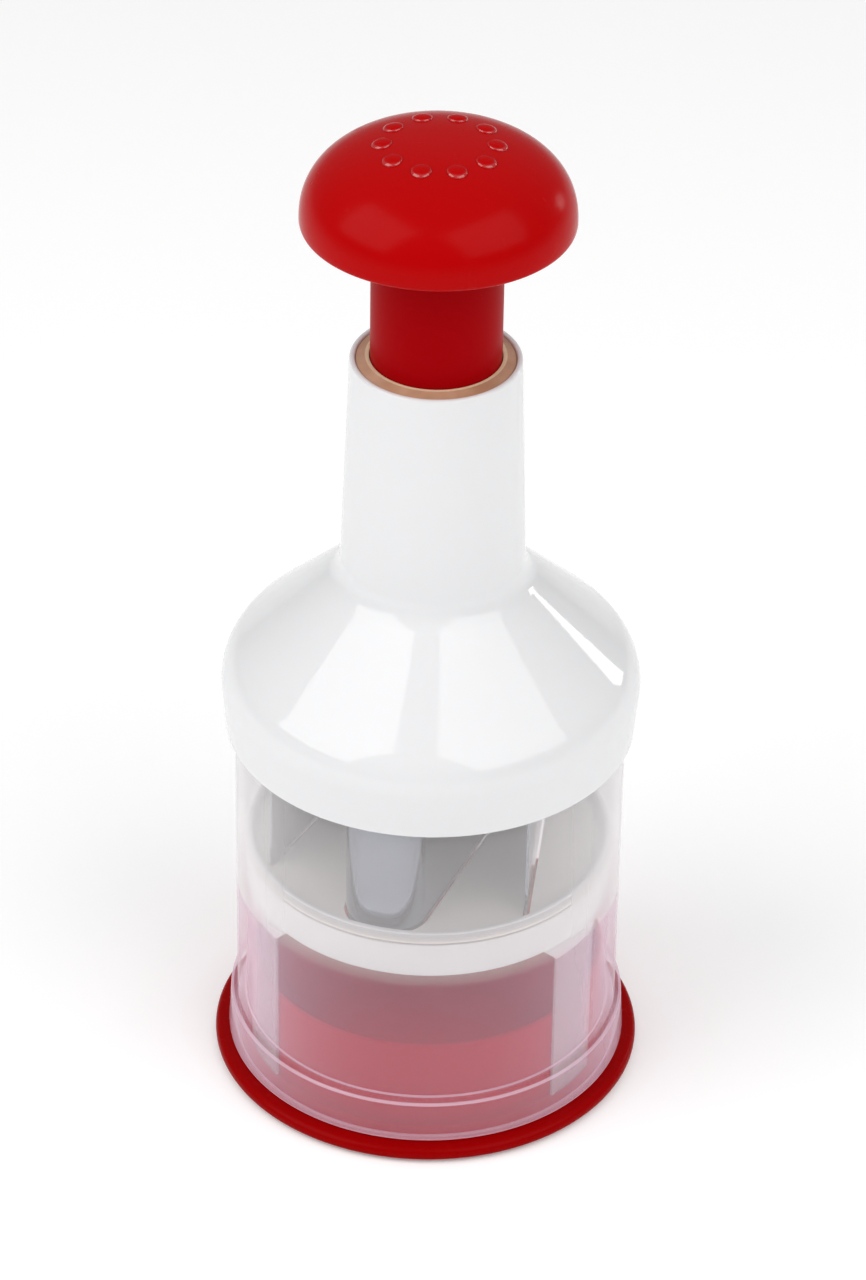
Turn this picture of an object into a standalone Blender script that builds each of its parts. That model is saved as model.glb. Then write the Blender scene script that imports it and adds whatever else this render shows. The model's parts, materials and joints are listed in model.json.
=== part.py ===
# Push-down food chopper: a knob on a tube drives a zigzag blade down through a scraper disc into a cup.
# A twisted spindle in a fixed nut turns the blade a little on every stroke, and a spring lifts it again.
# Lengths are in millimetres, heights are above the table, and the chopper's axis is Z.
import math

import bmesh
import bpy
from mathutils import Matrix, Vector

MM = 0.001
GAP = 0.3                 # between pieces that touch
RUN = 0.4                 # round pieces that slide in one another

TRAVEL = 36.0             # stroke of the plunger
TURN_PER_STROKE = 20.0    # degrees that the blade turns in one stroke

BASE_RADIUS = 49.0
FLANGE_BOTTOM, FLANGE_TOP = 0.8, 3.7
BOWL_RADIUS, BOWL_WALL = 40.4, 1.5
BOWL_FLOOR, BOWL_TOP = 19.0, 27.3
BOWL_FILLET = 1.0         # small, because the blade's ends reach the floor close to the wall
FLOOR_THICK = 2.0
GROOVE_INNER, GROOVE_OUTER, GROOVE_TOP = 43.2, 47.3, 2.0    # for the anti-slip ring

CUP_RADIUS, CUP_WALL = 43.8, 2.0
CUP_BOTTOM, CUP_TOP = 4.0, 96.0
FOOT_RADIUS, RIDGE_RADIUS, RIDGE_HEIGHT = 45.9, 45.3, 13.8
FOOT_BORES = (44.1, 43.6)                # at the bottom and at FOOT_BORE_TOP, where the bore narrows
FOOT_BORE_TOP, BORE_BOTTOM = 11.5, 14.2

CAGE_RADIUS, CAGE_WALL = 41.5, 0.8
BAND_BOTTOM, BAND_TOP = 48.0, 56.4
TAB_BOTTOM, LEG_BOTTOM = 44.0, 4.3
LEG_CENTRES = (-65.2, 54.8, 174.8)   # degrees from the front, -Y, towards +X
LEG_HALF_ANGLE, CHAMFER_ANGLE = 10.0, 5.6

DISC_RADIUS, DISC_RIM_WALL = 41.3, 1.3
DISC_TOP, DISC_FLOOR, DISC_UNDERSIDE = 59.6, 57.0, 55.2
DISC_SPIGOT_RADIUS = 40.3

BLADE_THICK = 0.6
BLADE_BOTTOM, BLADE_TOP = 55.6, 97.0
BLADE_YAW = -17.0                    # degrees about Z
BLADE_SPAN = 30.0                    # half the distance between the strip's free ends
BLADE_BACK_FOLD = (16.5, 47.0, 2.5)  # corner before folding (across, back) and the fold's radius
BLADE_NOSE = (8.3, -38.0, 7.6)       # corner of the wide front fold and its radius
BLADE_END_Y = -23.0
SLOT_SIDE = 0.4

CARRIER_RADIUS, CARRIER_BOTTOM, CARRIER_TOP = 39.0, 94.5, 98.0
HUB_RADIUS, HUB_TOP = 8.5, 106.0
POCKET_RADIUS, POCKET_TOP = 4.3, 96.2    # recess for the blade screw's head
SOCKET_RADIUS = 5.3                      # takes the spindle's lower end
SCREW_HOLE = 1.7                         # radius of every screw hole

PLATE_RADIUS, PLATE_BOTTOM, PLATE_TOP = 28.0, 108.0, 111.0
NUT_RADIUS, NUT_TOP = 11.6, 117.0
NUT_WALL_INNER, NUT_WALL_OUTER, NUT_WALL_TOP = 12.0, 14.0, 119.0
PLATE_BORE = 6.5                         # clears the spindle's corners
BOSS_CIRCLE, BOSS_RADIUS, BOSS_TOP = 23.5, 3.4, 132.0
PILOT_TOP = 116.0                        # end of the screw holes in the bosses

SPINDLE_SIDE, TWIST_TOP = 7.0, 158.0
SPINDLE_SHOULDER, SPINDLE_STUB_TOP = 204.7, 208.6
SPINDLE_SHANK, SPINDLE_STUB = 4.0, 2.9   # radii of the round upper part
HEAD_RADIUS, SHANK_RADIUS = 3.9, 1.4     # screws on the axis
UPPER_HEAD_RADIUS, UPPER_HEAD_THICK = 3.2, 2.2
UPPER_SCREW_END = 200.0

RIM_RADIUS, SHELL_RADIUS = 45.9, 46.7
BELL_BOTTOM, SHELL_TOP = 89.3, 100.4
EDGE_RADIUS, FLARE_RADIUS = 12.2, 8.8    # roundings at the shoulder's edge and at the neck's foot
SHOULDER_FACING = math.radians(47.0)     # how far the conical shoulder faces up from level
NECK_FOOT_RADIUS = 20.4
CUP_SOCKET, CUP_STOP = 44.2, 42.9        # radii of the bell's mouth and of the step that meets the cup
NECK_TOP, NECK_TOP_RADIUS = 183.5, 18.6
BELL_WALL = 2.2
SEAT_BORE, SEAT_RADIUS = 6.2, 13.8       # the cup under the spring
COLLAR_RADIUS, COLLAR_TOP = 7.2, 124.5   # centres the spring's lowest turn
MOUTH_RADIUS, BUSH_SEAT = 17.3, 165.3

TUBE_RADIUS, TUBE_BORE = 14.2, 12.2
TUBE_BOTTOM, TUBE_TOP = 158.0, 229.7
WEB_BOTTOM, WEB_TOP, WEB_HOLE = 205.0, 208.0, 3.4

KNOB_RADIUS, KNOB_EDGE, KNOB_RISE = 29.4, 217.4, 18.4
KNOB_RIM, KNOB_ROOF = 216.3, 230.2
KNOB_SQUARENESS = 2.32                   # 2 would be an ellipse
KNOB_WALL, KNOB_ROOF_RADIUS = 2.5, 18.0
SPIGOT_OUTER, SPIGOT_INNER = 11.9, 9.6   # fits inside the tube
SPIGOT_BOTTOM, SPIGOT_TOP = 213.4, 232.0
BUMPER_INNER, BUMPER_OUTER = 15.0, 19.0

SPRING_RADIUS, SPRING_WIRE, SPRING_TURNS = 9.0, 1.4, 10
SPRING_BOTTOM, SPRING_TOP = 121.6, 203.0

SHELL_STEPS = 32          # sides of the turned shells
STEPS = 24                # sides of the other large turned pieces
SMALL_STEPS = 16


def clear_scene():
    for thing in list(bpy.data.objects):
        bpy.data.objects.remove(thing)


def material(name, color, roughness, metallic=0.0, transmission=0.0):
    made = bpy.data.materials.new(name)
    made.use_nodes = True
    shader = made.node_tree.nodes["Principled BSDF"]
    shader.inputs["Base Color"].default_value = (*color, 1.0)
    shader.inputs["Roughness"].default_value = roughness
    shader.inputs["Metallic"].default_value = metallic
    shader.inputs["Transmission Weight"].default_value = transmission
    return made


def polar(radius, degrees, z=0.0):
    angle = math.radians(degrees)
    return Vector((radius * math.cos(angle), radius * math.sin(angle), z))


def oval(center, half_sizes, start, stop, count=8):
    """Points along an ellipse, between two angles in degrees."""
    points = []
    for index in range(count + 1):
        angle = math.radians(start + (stop - start) * index / count)
        points.append((center[0] + half_sizes[0] * math.cos(angle),
                       center[1] + half_sizes[1] * math.sin(angle)))
    return points


def rounded(points, closed=True, count=1):
    """Replaces each (x, y, radius) corner by an arc; (x, y) corners stay sharp."""
    result = []
    total = len(points)
    for index, point in enumerate(points):
        at_end = not closed and index in (0, total - 1)
        if len(point) == 2 or at_end:
            result.append(tuple(point[:2]))
            continue
        corner = Vector(point[:2])
        before = (Vector(points[index - 1][:2]) - corner).normalized()
        after = (Vector(points[(index + 1) % total][:2]) - corner).normalized()
        half = before.angle(after) / 2
        inward = (before + after).normalized()
        center = corner + inward * point[2] / math.sin(half)
        first = corner + before * point[2] / math.tan(half) - center
        swing = math.pi - 2 * half
        side = 1 if first.cross(-before) > 0 else -1
        for step in range(count + 1):
            spoke = first.copy()
            spoke.rotate(Matrix.Rotation(side * swing * step / count, 2))
            result.append(tuple(center + spoke))
    return result


def finish(mesh, name, skin, smooth=True):
    """Turns a bmesh that is in millimetres into a named object in metres."""
    bmesh.ops.remove_doubles(mesh, verts=mesh.verts, dist=0.001)
    bmesh.ops.dissolve_degenerate(mesh, edges=mesh.edges, dist=0.001)
    bmesh.ops.recalc_face_normals(mesh, faces=mesh.faces)
    if mesh.calc_volume(signed=True) < 0:
        bmesh.ops.reverse_faces(mesh, faces=mesh.faces)
    bmesh.ops.scale(mesh, vec=(MM, MM, MM), verts=mesh.verts)
    data = bpy.data.meshes.new(name)
    mesh.to_mesh(data)
    mesh.free()
    if smooth:
        data.shade_smooth()
        data.set_sharp_from_angle(angle=math.radians(35))
    data.materials.append(skin)
    made = bpy.data.objects.new(name, data)
    bpy.context.collection.objects.link(made)
    return made


def turned(name, outline, skin, steps=STEPS, at=(0.0, 0.0)):
    """A closed (radius, height) outline turned about a vertical axis."""
    mesh = bmesh.new()
    verts = [mesh.verts.new((radius, 0.0, height)) for radius, height in outline]
    edges = []
    for first, second in zip(verts, verts[1:] + verts[:1]):
        if first.co.x > 0 or second.co.x > 0:
            edges.append(mesh.edges.new((first, second)))
    bmesh.ops.spin(mesh, geom=verts + edges, cent=(0, 0, 0), axis=(0, 0, 1),
                   angle=math.tau, steps=steps, use_merge=True)
    bmesh.ops.translate(mesh, vec=(at[0], at[1], 0.0), verts=mesh.verts)
    return finish(mesh, name, skin)


def ring(name, inner, outer, low, high, skin, steps=SMALL_STEPS):
    return turned(name, [(inner, low), (outer, low), (outer, high), (inner, high)], skin, steps)


def guide(thing):
    thing.hide_render = True
    thing.display_type = "WIRE"
    return thing


def boolean(thing, tool, operation):
    change = thing.modifiers.new(operation.title(), "BOOLEAN")
    change.operation = operation
    change.solver = "EXACT"
    change.object = guide(tool)


def cylinder(name, radius, low, high, skin, at=(0.0, 0.0), steps=SMALL_STEPS):
    outline = [(0.0, low), (radius, low), (radius, high), (0.0, high)]
    return turned(name, outline, skin, steps, at)


# --- base ---------------------------------------------------------------------------------------

def base_cap(red):
    bore = BOWL_RADIUS - BOWL_WALL
    outline = rounded([
        (0.0, BOWL_FLOOR - FLOOR_THICK), (bore, BOWL_FLOOR - FLOOR_THICK, 1.0), (bore, FLANGE_BOTTOM),
        (GROOVE_INNER, FLANGE_BOTTOM), (GROOVE_INNER, GROOVE_TOP), (GROOVE_OUTER, GROOVE_TOP),
        (GROOVE_OUTER, FLANGE_BOTTOM),
        (BASE_RADIUS, FLANGE_BOTTOM, 0.8), (BASE_RADIUS, FLANGE_TOP, 1.4), (BOWL_RADIUS, FLANGE_TOP, 0.4),
        (BOWL_RADIUS, BOWL_TOP, 0.7), (bore, BOWL_TOP, 0.7), (bore, BOWL_FLOOR, BOWL_FILLET),
        (0.0, BOWL_FLOOR)])
    return turned("base_cap", outline, red, steps=SHELL_STEPS)


def anti_slip_ring(rubber):
    return ring("anti_slip_ring", GROOVE_INNER + GAP, GROOVE_OUTER - GAP, 0.0, GROOVE_TOP - GAP, rubber,
                SHELL_STEPS)


# --- cup, cage and disc -------------------------------------------------------------------------

def chopping_cup(clear):
    bore = CUP_RADIUS - CUP_WALL
    outline = rounded([
        (FOOT_BORES[0], CUP_BOTTOM, 0.3), (FOOT_RADIUS, CUP_BOTTOM, 0.3), (RIDGE_RADIUS, RIDGE_HEIGHT, 0.4),
        (CUP_RADIUS, RIDGE_HEIGHT + 0.8, 0.3), (CUP_RADIUS, CUP_TOP, 0.5), (bore, CUP_TOP, 0.5),
        (bore, BORE_BOTTOM), (FOOT_BORES[1], FOOT_BORE_TOP)])
    return turned("chopping_cup", outline, clear, steps=SHELL_STEPS)


def cage_point(degrees, height):
    """A point on the cage's outside; the angle runs from the front, -Y, towards +X."""
    return polar(CAGE_RADIUS, degrees - 90.0, height)


def scraper_cage(white):
    """A thin band with three legs, whose upper corners are chamfered."""
    cuts = []
    for center in LEG_CENTRES:
        for offset in (-LEG_HALF_ANGLE - CHAMFER_ANGLE, -LEG_HALF_ANGLE, 0.0,
                       LEG_HALF_ANGLE, LEG_HALF_ANGLE + CHAMFER_ANGLE):
            cuts.append((center + offset, offset))
    mesh = bmesh.new()

    def face(*corners):
        mesh.faces.new([mesh.verts.new(cage_point(*corner)) for corner in corners])

    for index, (angle, offset) in enumerate(cuts):
        following = cuts[(index + 1) % len(cuts)][0]
        if following < angle:
            following += 360.0
        pieces = 12 if offset > LEG_HALF_ANGLE else 1 if abs(offset) > LEG_HALF_ANGLE else 2
        if offset == LEG_HALF_ANGLE:
            pieces = 1
        stops = [angle + (following - angle) * step / pieces for step in range(pieces + 1)]
        for left, right in zip(stops, stops[1:]):
            face((left, BAND_BOTTOM), (right, BAND_BOTTOM), (right, BAND_TOP), (left, BAND_TOP))
            if offset in (-LEG_HALF_ANGLE, 0.0):
                face((left, TAB_BOTTOM), (right, TAB_BOTTOM), (right, BAND_BOTTOM), (left, BAND_BOTTOM))
                face((left, LEG_BOTTOM), (right, LEG_BOTTOM), (right, TAB_BOTTOM), (left, TAB_BOTTOM))
            elif offset < -LEG_HALF_ANGLE:
                face((right, TAB_BOTTOM), (right, BAND_BOTTOM), (left, BAND_BOTTOM))
            elif offset == LEG_HALF_ANGLE:
                face((left, TAB_BOTTOM), (right, BAND_BOTTOM), (left, BAND_BOTTOM))
    cage = finish(mesh, "scraper_cage", white)
    wall = cage.modifiers.new("Wall", "SOLIDIFY")
    wall.thickness = CAGE_WALL * MM
    wall.offset = -1.0
    return cage


def blade_path():
    """The strip's middle line seen from above: two free ends, two back folds and a wide nose."""
    across, back, fold = BLADE_BACK_FOLD
    nose_x, nose_y, nose = BLADE_NOSE
    corners = [(-BLADE_SPAN, BLADE_END_Y), (-across, back, fold), (-nose_x, nose_y, nose),
               (nose_x, nose_y, nose), (across, back, fold), (BLADE_SPAN, BLADE_END_Y)]
    return [Vector(point) for point in rounded(corners, closed=False, count=5)]


def strip(name, half_thick, low, high, skin, overrun=0.0):
    """The blade's path as an upright strip; overrun lengthens its free ends."""
    path = blade_path()
    path[0] += (path[0] - path[1]).normalized() * overrun
    path[-1] += (path[-1] - path[-2]).normalized() * overrun
    mesh = bmesh.new()
    sections = []
    for index, point in enumerate(path):
        before = path[max(index - 1, 0)]
        after = path[min(index + 1, len(path) - 1)]
        along = (after - before).normalized()
        side = Vector((-along.y, along.x)) * half_thick
        sections.append([mesh.verts.new((*(point + side), low)), mesh.verts.new((*(point - side), low)),
                         mesh.verts.new((*(point - side), high)), mesh.verts.new((*(point + side), high))])
    for first, second in zip(sections, sections[1:]):
        for corner in range(4):
            after = (corner + 1) % 4
            mesh.faces.new((first[corner], first[after], second[after], second[corner]))
    mesh.faces.new(sections[0])
    mesh.faces.new(sections[-1])
    bmesh.ops.rotate(mesh, matrix=Matrix.Rotation(math.radians(BLADE_YAW), 3, "Z"), verts=mesh.verts)
    return finish(mesh, name, skin)


def scraper_disc(clear):
    outline = rounded([
        (0.0, DISC_UNDERSIDE), (DISC_SPIGOT_RADIUS, DISC_UNDERSIDE), (DISC_SPIGOT_RADIUS, BAND_TOP + GAP),
        (DISC_RADIUS, BAND_TOP + GAP), (DISC_RADIUS, DISC_TOP),
        (DISC_RADIUS - DISC_RIM_WALL, DISC_TOP), (DISC_RADIUS - DISC_RIM_WALL, DISC_FLOOR),
        (0.0, DISC_FLOOR)])
    disc = turned("scraper_disc", outline, clear)
    slot = strip("disc_slot_cutter", BLADE_THICK / 2 + SLOT_SIDE, DISC_UNDERSIDE - 1, DISC_FLOOR + 1,
                 clear, SLOT_SIDE)
    boolean(disc, slot, "DIFFERENCE")
    return disc


# --- blade, carrier and spindle -----------------------------------------------------------------

def chopping_blade(steel):
    return strip("chopping_blade", BLADE_THICK / 2, BLADE_BOTTOM, BLADE_TOP, steel)


def blade_carrier(white):
    outline = rounded([
        (SCREW_HOLE, POCKET_TOP), (POCKET_RADIUS, POCKET_TOP), (POCKET_RADIUS, CARRIER_BOTTOM),
        (CARRIER_RADIUS, CARRIER_BOTTOM),
        (CARRIER_RADIUS, CARRIER_TOP), (HUB_RADIUS, CARRIER_TOP, 1.5), (HUB_RADIUS, HUB_TOP),
        (SOCKET_RADIUS, HUB_TOP), (SOCKET_RADIUS, CARRIER_TOP), (SCREW_HOLE, CARRIER_TOP)])
    carrier = turned("blade_carrier", outline, white)
    groove = strip("carrier_groove_cutter", BLADE_THICK / 2 + 0.35, CARRIER_BOTTOM - 1, BLADE_TOP + GAP,
                   white, 0.35)
    boolean(carrier, groove, "DIFFERENCE")
    return carrier


def blade_screw(steel):
    outline = rounded([
        (0.0, CARRIER_BOTTOM + 0.1), (HEAD_RADIUS, CARRIER_BOTTOM + 0.1, 0.6),
        (HEAD_RADIUS, POCKET_TOP - GAP), (SHANK_RADIUS, POCKET_TOP - GAP), (SHANK_RADIUS, HUB_TOP),
        (0.0, HUB_TOP)])
    return turned("blade_screw", outline, steel, SMALL_STEPS)


def twisted_bar(name, side, low, high, skin):
    """A square bar whose section turns by TURN_PER_STROKE over TRAVEL."""
    twist = math.radians(TURN_PER_STROKE) / TRAVEL
    layers = max(2, round((high - low) / 4.0))
    mesh = bmesh.new()
    rings = []
    for layer in range(layers + 1):
        height = low + (high - low) * layer / layers
        turn = 45 + math.degrees(twist * (height - PLATE_TOP))
        corners = [polar(side / math.sqrt(2), turn + 90 * corner, height) for corner in range(4)]
        rings.append([mesh.verts.new(corner) for corner in corners])
    for lower, upper in zip(rings, rings[1:]):
        for corner in range(4):
            after = (corner + 1) % 4
            mesh.faces.new((lower[corner], lower[after], upper[after], upper[corner]))
    mesh.faces.new(rings[0])
    mesh.faces.new(rings[-1])
    return finish(mesh, name, skin, smooth=False)


def spindle(steel):
    bar = twisted_bar("spindle", SPINDLE_SIDE, CARRIER_TOP + GAP, TWIST_TOP, steel)
    shank = turned("spindle_shank", rounded([
        (0.0, TWIST_TOP - 3), (SPINDLE_SHANK, TWIST_TOP - 3), (SPINDLE_SHANK, SPINDLE_SHOULDER),
        (SPINDLE_STUB, SPINDLE_SHOULDER), (SPINDLE_STUB, SPINDLE_STUB_TOP), (0.0, SPINDLE_STUB_TOP)]),
        steel, SMALL_STEPS)
    boolean(bar, shank, "UNION")
    for name, low, high in (("spindle_lower_hole", CARRIER_TOP - 2, HUB_TOP + 1),
                            ("spindle_upper_hole", UPPER_SCREW_END - 1, SPINDLE_STUB_TOP + 1)):
        boolean(bar, cylinder(name, SCREW_HOLE, low, high, steel, steps=12), "DIFFERENCE")
    return bar


def spindle_washer(steel):
    return ring("spindle_washer", 1.8, 8.0, WEB_TOP + 0.9, WEB_TOP + 1.9, steel)


def spindle_screw(steel):
    seat = WEB_TOP + 2.2
    top = seat + UPPER_HEAD_THICK
    outline = rounded([
        (0.0, UPPER_SCREW_END), (SHANK_RADIUS, UPPER_SCREW_END), (SHANK_RADIUS, seat),
        (UPPER_HEAD_RADIUS, seat), (UPPER_HEAD_RADIUS, top, 1.0), (0.0, top)])
    return turned("spindle_screw", outline, steel, 16)


# --- drive inside the bell ----------------------------------------------------------------------

def screw_places():
    return [polar(BOSS_CIRCLE, 30 + 120 * index).xy for index in range(3)]


def drive_plate(grey):
    outline = rounded([
        (PLATE_BORE, PLATE_BOTTOM), (PLATE_RADIUS, PLATE_BOTTOM), (PLATE_RADIUS, PLATE_TOP),
        (NUT_WALL_OUTER, PLATE_TOP), (NUT_WALL_OUTER, NUT_WALL_TOP), (NUT_WALL_INNER, NUT_WALL_TOP),
        (NUT_WALL_INNER, PLATE_TOP), (PLATE_BORE, PLATE_TOP)])
    plate = turned("drive_plate", outline, grey)
    for index, place in enumerate(screw_places()):
        hole = cylinder(f"plate_hole_{index + 1}", SCREW_HOLE, PLATE_BOTTOM - 1, PLATE_TOP + 1, grey,
                        place, 12)
        boolean(plate, hole, "DIFFERENCE")
    return plate


def plate_screws(steel):
    outline = rounded([
        (0.0, PLATE_BOTTOM - 2.5), (2.8, PLATE_BOTTOM - 2.5, 0.8), (2.8, PLATE_BOTTOM - GAP),
        (1.3, PLATE_BOTTOM - GAP), (1.3, PILOT_TOP - 0.6), (0.0, PILOT_TOP - 0.6)])
    for index, place in enumerate(screw_places()):
        turned(f"plate_screw_{index + 1}", outline, steel, 12, place)


def stop_washer(rubber):
    return ring("stop_washer", PLATE_BORE, 10.5, HUB_TOP + GAP, PLATE_BOTTOM - GAP, rubber)


def index_nut(brass):
    outline = rounded([
        (0.0, PLATE_TOP + GAP), (NUT_RADIUS, PLATE_TOP + GAP), (NUT_RADIUS, NUT_TOP),
        (0.0, NUT_TOP)])
    nut = turned("index_nut", outline, brass, SMALL_STEPS)
    hole = twisted_bar("index_nut_cutter", SPINDLE_SIDE + 0.8, PLATE_BOTTOM, NUT_TOP + 2, brass)
    boolean(nut, hole, "DIFFERENCE")
    return nut


def click_washer(steel):
    return ring("click_washer", PLATE_BORE, NUT_RADIUS - GAP, NUT_TOP + GAP, NUT_TOP + 1.1, steel)


def spring_seat(grey):
    low = NUT_WALL_TOP + GAP
    outline = rounded([
        (SEAT_BORE, low), (SEAT_RADIUS, low), (SEAT_RADIUS, SPRING_BOTTOM - GAP),
        (COLLAR_RADIUS, SPRING_BOTTOM - GAP), (COLLAR_RADIUS, COLLAR_TOP), (SEAT_BORE, COLLAR_TOP)])
    return turned("spring_seat", outline, grey, SMALL_STEPS)


def return_spring(steel):
    """A helix of round wire between the seat and the upper washer."""
    mesh = bmesh.new()
    per_turn, sides = 8, 4
    radius = SPRING_WIRE / 2
    low, high = SPRING_BOTTOM + radius, SPRING_TOP - radius
    count = per_turn * SPRING_TURNS
    rings = []
    for step in range(count + 1):
        spoke = polar(1.0, 360.0 * step / per_turn)
        center = spoke * SPRING_RADIUS + Vector((0, 0, low + (high - low) * step / count))
        section = []
        for side in range(sides):
            angle = math.tau * side / sides
            offset = spoke * math.cos(angle) * radius + Vector((0, 0, math.sin(angle) * radius))
            section.append(mesh.verts.new(center + offset))
        rings.append(section)
    for lower, upper in zip(rings, rings[1:]):
        for side in range(sides):
            after = (side + 1) % sides
            mesh.faces.new((lower[side], lower[after], upper[after], upper[side]))
    mesh.faces.new(rings[0])
    mesh.faces.new(rings[-1])
    return finish(mesh, "return_spring", steel)


# --- bell ---------------------------------------------------------------------------------------

def neck_foot():
    """The height where the neck starts to flare, so that both roundings run smoothly into the cone."""
    rise, run = math.sin(SHOULDER_FACING), math.cos(SHOULDER_FACING)
    across = SHELL_RADIUS - (EDGE_RADIUS + FLARE_RADIUS) * (1 - run) - NECK_FOOT_RADIUS
    return SHELL_TOP + (EDGE_RADIUS + FLARE_RADIUS) * rise + across * run / rise


def shell_curves(inset):
    """The bell's flare and shoulder, from the neck down, moved in by inset from its outside."""
    facing = math.degrees(SHOULDER_FACING)
    outer, inner = FLARE_RADIUS + inset, EDGE_RADIUS - inset
    flare = oval((NECK_FOOT_RADIUS + FLARE_RADIUS, neck_foot()), (outer, outer), 180, 180 + facing, 4)
    return flare + oval((SHELL_RADIUS - EDGE_RADIUS, SHELL_TOP), (inner, inner), facing, 0, 5)


def screw_boss(name, place, white):
    """A screw post under the flare, trimmed so that it stays inside the shell."""
    boss = turned(name, [(SCREW_HOLE, PLATE_TOP + GAP), (BOSS_RADIUS, PLATE_TOP + GAP),
                         (BOSS_RADIUS, BOSS_TOP), (0.0, BOSS_TOP), (0.0, PILOT_TOP),
                         (SCREW_HOLE, PILOT_TOP)], white, SMALL_STEPS, place)
    curve = shell_curves(BELL_WALL / 2)
    trimmer = turned(name + "_trimmer", [(0.0, neck_foot())] + curve + [(0.0, SHELL_TOP)], white)
    boolean(boss, trimmer, "INTERSECT")
    return boss


def bell_housing(white):
    bore_foot = NECK_FOOT_RADIUS - BELL_WALL
    bore_top = bore_foot - 1.7
    neck = rounded([(NECK_FOOT_RADIUS, neck_foot()), (NECK_TOP_RADIUS, NECK_TOP, 0.5),
                    (MOUTH_RADIUS, NECK_TOP, 0.4), (MOUTH_RADIUS, BUSH_SEAT), (bore_top, BUSH_SEAT),
                    (bore_foot, neck_foot())], closed=False)
    outline = [(CUP_SOCKET, BELL_BOTTOM), (RIM_RADIUS - 0.4, BELL_BOTTOM), (RIM_RADIUS, BELL_BOTTOM + 0.4)]
    outline += list(reversed(shell_curves(0.0))) + neck[1:-1] + shell_curves(BELL_WALL)
    outline += [(CUP_STOP, CUP_TOP + GAP), (CUP_SOCKET, CUP_TOP + GAP)]
    bell = turned("bell_housing", outline, white, steps=SHELL_STEPS)
    for index, place in enumerate(screw_places()):
        boolean(bell, screw_boss(f"bell_boss_{index + 1}", place, white), "UNION")
    return bell


def neck_bush(tan):
    outline = rounded([
        (TUBE_RADIUS + RUN, BUSH_SEAT + GAP), (MOUTH_RADIUS - GAP, BUSH_SEAT + GAP),
        (MOUTH_RADIUS - GAP, NECK_TOP - 0.6), (TUBE_RADIUS + RUN + 0.6, NECK_TOP + 0.5),
        (TUBE_RADIUS + RUN, NECK_TOP + 0.2)])
    return turned("neck_bush", outline, tan)


# --- plunger ------------------------------------------------------------------------------------

def plunger_tube(red):
    outline = rounded([
        (TUBE_BORE, TUBE_BOTTOM), (TUBE_RADIUS, TUBE_BOTTOM), (TUBE_RADIUS, TUBE_TOP),
        (TUBE_BORE, TUBE_TOP), (TUBE_BORE, WEB_TOP), (WEB_HOLE, WEB_TOP), (WEB_HOLE, WEB_BOTTOM),
        (TUBE_BORE, WEB_BOTTOM)])
    return turned("plunger_tube", outline, red)


def upper_spring_washer(steel):
    return ring("upper_spring_washer", 5.0, 11.6, SPRING_TOP + GAP, WEB_BOTTOM - GAP, steel)


def knob_dome(radius, edge, rise, low, high, count=10):
    """Points down a flattened dome, from the angle high to the angle low in degrees."""
    power = 2 / KNOB_SQUARENESS
    points = []
    for index in range(count + 1):
        angle = math.radians(high + (low - high) * index / count)
        points.append((radius * math.cos(angle) ** power, edge + rise * math.sin(angle) ** power))
    return points


def push_knob(red):
    outline = [(0.0, KNOB_EDGE + KNOB_RISE)] + knob_dome(KNOB_RADIUS, KNOB_EDGE, KNOB_RISE, 0.0, 84.0, 9)
    outline += rounded([(KNOB_RADIUS, KNOB_EDGE), (KNOB_RADIUS - 0.3, KNOB_RIM, 0.6),
                        (KNOB_RADIUS - 2.3, KNOB_RIM, 0.4), (KNOB_RADIUS - KNOB_WALL, KNOB_EDGE + 2)],
                       closed=False)[1:-1]
    outline += oval((KNOB_ROOF_RADIUS, KNOB_EDGE),
                    (KNOB_RADIUS - KNOB_WALL - KNOB_ROOF_RADIUS, KNOB_ROOF - KNOB_EDGE), 8, 90, 4)
    outline += [(SPIGOT_OUTER, KNOB_ROOF), (SPIGOT_OUTER, SPIGOT_BOTTOM + 0.4),
                (SPIGOT_OUTER - 0.4, SPIGOT_BOTTOM), (SPIGOT_INNER, SPIGOT_BOTTOM),
                (SPIGOT_INNER, SPIGOT_TOP), (0.0, SPIGOT_TOP)]
    return turned("push_knob", outline, red, steps=SHELL_STEPS)


def knob_bumper(rubber):
    return ring("knob_bumper", BUMPER_INNER, BUMPER_OUTER, NECK_TOP + 0.5 + TRAVEL + RUN, KNOB_ROOF - GAP,
                rubber, STEPS)


def build():
    clear_scene()
    red = material("red_plastic", (0.52, 0.0, 0.005), 0.22)
    deep_red = material("deep_red_plastic", (0.38, 0.0, 0.005), 0.28)
    white = material("white_plastic", (0.80, 0.80, 0.81), 0.25)
    cage_white = material("cage_plastic", (0.78, 0.76, 0.79), 0.3)
    clear = material("clear_plastic", (0.95, 0.95, 0.96), 0.05, transmission=1.0)
    tan = material("bush_plastic", (0.52, 0.26, 0.15), 0.35)
    grey = material("grey_plastic", (0.30, 0.30, 0.31), 0.45)
    rubber = material("soft_rubber", (0.05, 0.05, 0.05), 0.8)
    steel = material("polished_steel", (0.62, 0.63, 0.66), 0.12, metallic=1.0)
    plated = material("plated_steel", (0.45, 0.45, 0.47), 0.3, metallic=1.0)

    base_cap(red)
    anti_slip_ring(rubber)
    chopping_cup(clear)
    scraper_cage(cage_white)
    scraper_disc(clear)
    chopping_blade(steel)
    blade_carrier(white)
    blade_screw(plated)
    spindle(plated)
    spindle_washer(plated)
    spindle_screw(plated)
    drive_plate(grey)
    plate_screws(plated)
    stop_washer(rubber)
    index_nut(grey)
    click_washer(plated)
    spring_seat(grey)
    return_spring(steel)
    bell_housing(white)
    neck_bush(tan)
    plunger_tube(deep_red)
    upper_spring_washer(plated)
    push_knob(red)
    knob_bumper(rubber)


build()
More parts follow.
